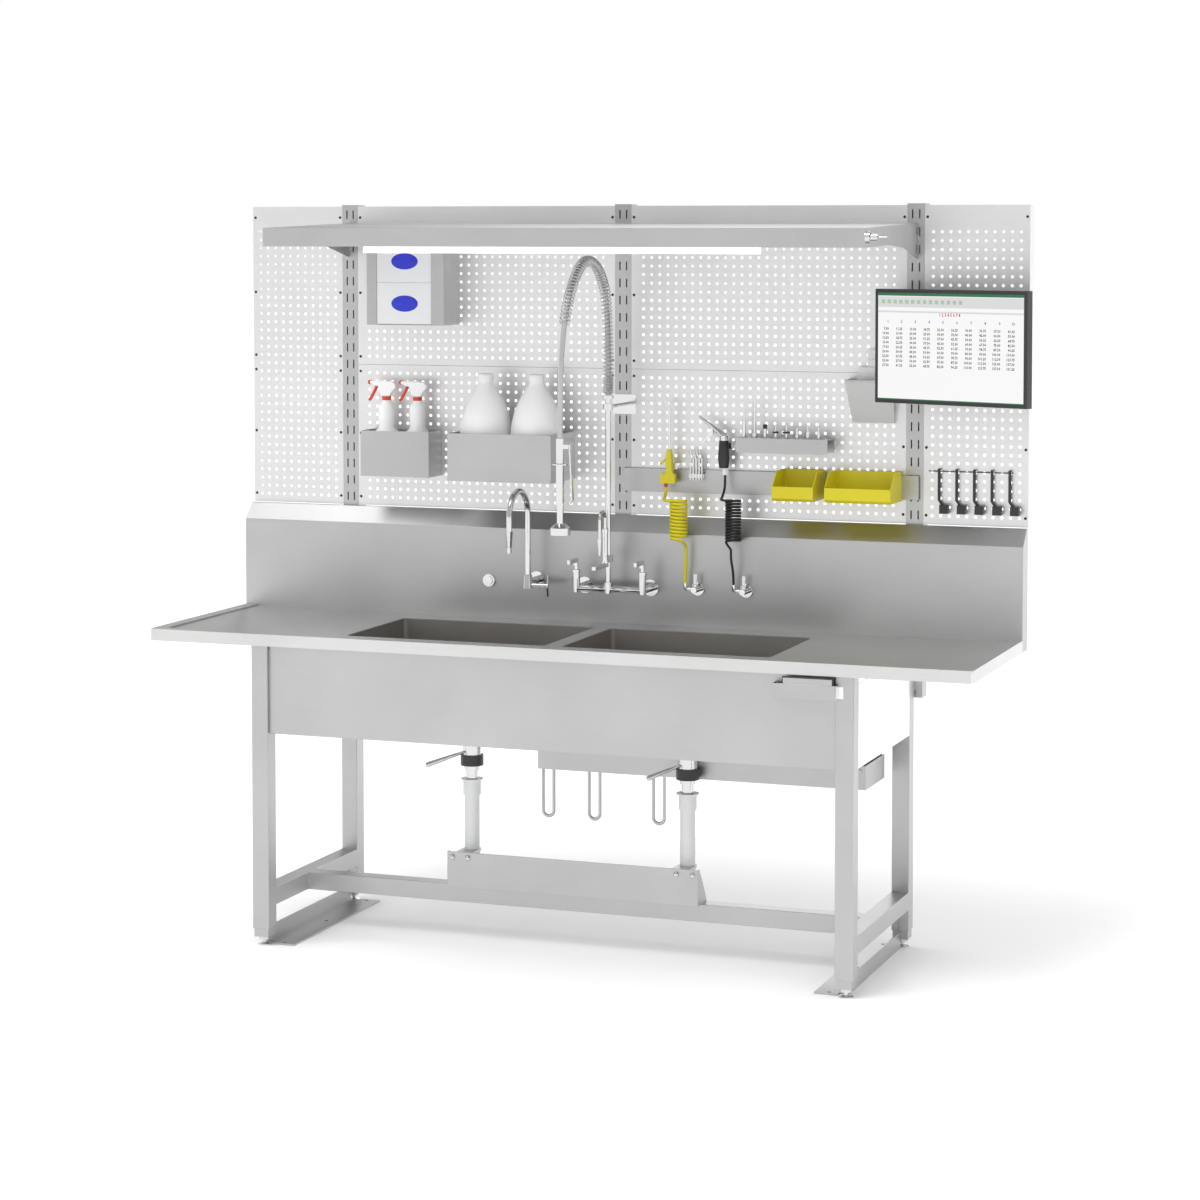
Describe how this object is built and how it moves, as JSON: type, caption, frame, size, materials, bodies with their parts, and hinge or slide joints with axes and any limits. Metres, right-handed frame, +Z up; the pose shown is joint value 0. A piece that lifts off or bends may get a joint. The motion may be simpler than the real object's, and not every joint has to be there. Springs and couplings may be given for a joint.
{
  "type": "processing sink",
  "caption": "Height-adjustable stainless instrument processing sink with two bowls, mixer and pre-rinse taps, hose guns, perforated wall, canopy lamp, shelves and monitor.",
  "frame": {"origin": "on the floor, at the centre of the four floor anchor holes", "axes": "+X right along the bench, +Y to the back, +Z up"},
  "size_m": [2.5139, 0.7456, 2.1386],
  "materials": {
    "stainless": "satin brushed",
    "chrome": "polished",
    "white_plastic": "smooth white",
    "black_plastic": "satin black",
    "yellow_plastic": "smooth yellow",
    "red_plastic": "smooth red",
    "rubber": "matt black",
    "card": "printed card"
  },
  "bodies": {
    "floor_base": {"floor_base": "stainless"},
    "levelling_feet": {"levelling_feet": "stainless"},
    "lift": {"leg_frame": "stainless", "worktop": "stainless", "left_bowl": "stainless", "right_bowl": "stainless", "backsplash": "stainless", "body_panels": "stainless", "uprights": "stainless", "bay_panels": "stainless", "wing_panels": "stainless", "canopy": "stainless", "lamp": "white_plastic", "glove_holder": "stainless", "glove_boxes": "card", "wall_trays": "stainless", "bin_rail": "stainless", "document_pocket": "stainless", "monitor_arm": "black_plastic", "tool_hooks": "black_plastic", "tool_racks": "stainless", "yellow_gun": "yellow_plastic", "black_gun": "black_plastic", "drains": "chrome", "drain_support": "stainless", "equipment_tray": "stainless", "splash_fittings": "chrome", "mixer_body": "chrome", "prerinse_spring": "chrome", "prerinse_hose": "rubber", "spray_valve": "chrome", "yellow_hose": "yellow_plastic", "yellow_coil": "yellow_plastic", "black_hose": "rubber", "black_coil": "rubber"},
    "lift_handset": {"lift_handset": "black_plastic"},
    "light_switch": {"light_switch": "chrome"},
    "left_spray_bottle": {"left_spray_bottle": "white_plastic"},
    "right_spray_bottle": {"right_spray_bottle": "white_plastic"},
    "left_spray_trigger": {"left_spray_trigger": "red_plastic"},
    "right_spray_trigger": {"right_spray_trigger": "red_plastic"},
    "left_jug": {"left_jug": "white_plastic"},
    "right_jug": {"right_jug": "white_plastic"},
    "small_bin": {"small_bin": "yellow_plastic"},
    "large_bin": {"large_bin": "yellow_plastic"},
    "monitor_knuckle": {"monitor_knuckle": "black_plastic"},
    "monitor": {"monitor": "black_plastic"},
    "left_drain_handle": {"left_drain_handle": "chrome"},
    "right_drain_handle": {"right_drain_handle": "chrome"},
    "gooseneck_spout": {"gooseneck_spout": "chrome"},
    "gooseneck_handle": {"gooseneck_handle": "chrome"},
    "hot_handle": {"hot_handle": "chrome"},
    "cold_handle": {"cold_handle": "chrome"},
    "addon_spout": {"addon_spout": "chrome"},
    "addon_handle": {"addon_handle": "chrome"},
    "spray_lever": {"spray_lever": "chrome"},
    "yellow_trigger": {"yellow_trigger": "yellow_plastic"},
    "black_trigger": {"black_trigger": "chrome"},
    "yellow_valve_lever": {"yellow_valve_lever": "white_plastic"},
    "black_valve_lever": {"black_valve_lever": "white_plastic"}
  },
  "joints": [
    {"name": "levelling_feet_slide", "type": "slide", "parent": "floor_base", "child": "levelling_feet", "axis": [0, 0, 1], "range_m": [-0.02, 0]},
    {"name": "lift_slide", "type": "slide", "parent": "floor_base", "child": "lift", "axis": [0, 0, 1], "range_m": [0, 0.203]},
    {"name": "lift_handset_slide", "type": "slide", "parent": "lift", "child": "lift_handset", "axis": [0, 0, 1], "range_m": [0, 0.1]},
    {"name": "light_switch_hinge", "type": "hinge", "parent": "lift", "child": "light_switch", "pos_m": [0.895, -0.228, 2.043], "axis": [1, 0, 0], "range_deg": [0, 90]},
    {"name": "left_spray_bottle_slide", "type": "slide", "parent": "lift", "child": "left_spray_bottle", "axis": [0, 0, 1], "range_m": [0, 0.14]},
    {"name": "left_spray_trigger_hinge", "type": "hinge", "parent": "left_spray_bottle", "child": "left_spray_trigger", "pos_m": [-0.776, 0.294, 1.588], "axis": [0, -1, 0], "range_deg": [0, 18], "stiffness_Nm_per_rad": 1.5, "springref_deg": -5.73},
    {"name": "right_spray_bottle_slide", "type": "slide", "parent": "lift", "child": "right_spray_bottle", "axis": [0, 0, 1], "range_m": [0, 0.14]},
    {"name": "right_spray_trigger_hinge", "type": "hinge", "parent": "right_spray_bottle", "child": "right_spray_trigger", "pos_m": [-0.674, 0.294, 1.588], "axis": [0, -1, 0], "range_deg": [0, 18], "stiffness_Nm_per_rad": 1.5, "springref_deg": -5.73},
    {"name": "left_jug_slide", "type": "slide", "parent": "lift", "child": "left_jug", "axis": [0, 0, 1], "range_m": [0, 0.14]},
    {"name": "right_jug_slide", "type": "slide", "parent": "lift", "child": "right_jug", "axis": [0, 0, 1], "range_m": [0, 0.14]},
    {"name": "small_bin_slide", "type": "slide", "parent": "lift", "child": "small_bin", "axis": [0, 0, 1], "range_m": [0, 0.04]},
    {"name": "large_bin_slide", "type": "slide", "parent": "lift", "child": "large_bin", "axis": [0, 0, 1], "range_m": [0, 0.04]},
    {"name": "monitor_knuckle_hinge", "type": "hinge", "parent": "lift", "child": "monitor_knuckle", "pos_m": [1.0778, 0.1598, 1.737], "axis": [0, 0, 1], "range_deg": [-15, 60]},
    {"name": "monitor_hinge", "type": "hinge", "parent": "monitor_knuckle", "child": "monitor", "pos_m": [1.0693, 0.1374, 1.757], "axis": [0.9341, -0.357, 0], "range_deg": [-10, 15]},
    {"name": "left_drain_handle_hinge", "type": "hinge", "parent": "lift", "child": "left_drain_handle", "pos_m": [-0.34757, -0.05727, 0.55], "axis": [-0.6093, -0.7632, -0.2152], "range_deg": [0, 90]},
    {"name": "right_drain_handle_hinge", "type": "hinge", "parent": "lift", "child": "right_drain_handle", "pos_m": [0.31186, -0.05646, 0.55], "axis": [-0.6372, -0.7282, -0.2523], "range_deg": [0, 90]},
    {"name": "gooseneck_spout_hinge", "type": "hinge", "parent": "lift", "child": "gooseneck_spout", "pos_m": [-0.248, 0.2, 1.043], "axis": [0, 0, 1], "range_deg": [-80, 80]},
    {"name": "gooseneck_handle_hinge", "type": "hinge", "parent": "lift", "child": "gooseneck_handle", "pos_m": [-0.192, 0.2, 1.012], "axis": [1, 0, 0], "range_deg": [0, 90]},
    {"name": "hot_handle_hinge", "type": "hinge", "parent": "lift", "child": "hot_handle", "pos_m": [-0.095, 0.2, 1.064], "axis": [0, 0, 1], "range_deg": [-90, 0]},
    {"name": "cold_handle_hinge", "type": "hinge", "parent": "lift", "child": "cold_handle", "pos_m": [0.111, 0.2, 1.064], "axis": [0, 0, 1], "range_deg": [0, 90]},
    {"name": "addon_spout_hinge", "type": "hinge", "parent": "lift", "child": "addon_spout", "pos_m": [0.005, 0.174, 1.11], "axis": [0, 0, 1], "range_deg": [-90, 90]},
    {"name": "addon_handle_hinge", "type": "hinge", "parent": "lift", "child": "addon_handle", "pos_m": [0.005, 0.174, 1.091], "axis": [0, 0, 1], "range_deg": [-45, 45]},
    {"name": "spray_lever_hinge", "type": "hinge", "parent": "lift", "child": "spray_lever", "pos_m": [0.032, -0.195, 1.45], "axis": [0, 1, 0], "range_deg": [0, 5], "stiffness_Nm_per_rad": 6, "springref_deg": -5.73},
    {"name": "yellow_trigger_hinge", "type": "hinge", "parent": "lift", "child": "yellow_trigger", "pos_m": [0.1507, 0.3, 1.387], "axis": [0, -1, 0], "range_deg": [0, 12], "stiffness_Nm_per_rad": 4, "springref_deg": -5.73},
    {"name": "black_trigger_hinge", "type": "hinge", "parent": "lift", "child": "black_trigger", "pos_m": [0.292, 0.3, 1.471], "axis": [0, -1, 0], "range_deg": [0, 18], "stiffness_Nm_per_rad": 2, "springref_deg": -5.73},
    {"name": "yellow_valve_lever_hinge", "type": "hinge", "parent": "lift", "child": "yellow_valve_lever", "pos_m": [0.257, 0.25, 1.028], "axis": [0, 0, 1], "range_deg": [0, 90]},
    {"name": "black_valve_lever_hinge", "type": "hinge", "parent": "lift", "child": "black_valve_lever", "pos_m": [0.405, 0.25, 1.028], "axis": [0, 0, 1], "range_deg": [0, 90]}
  ]
}
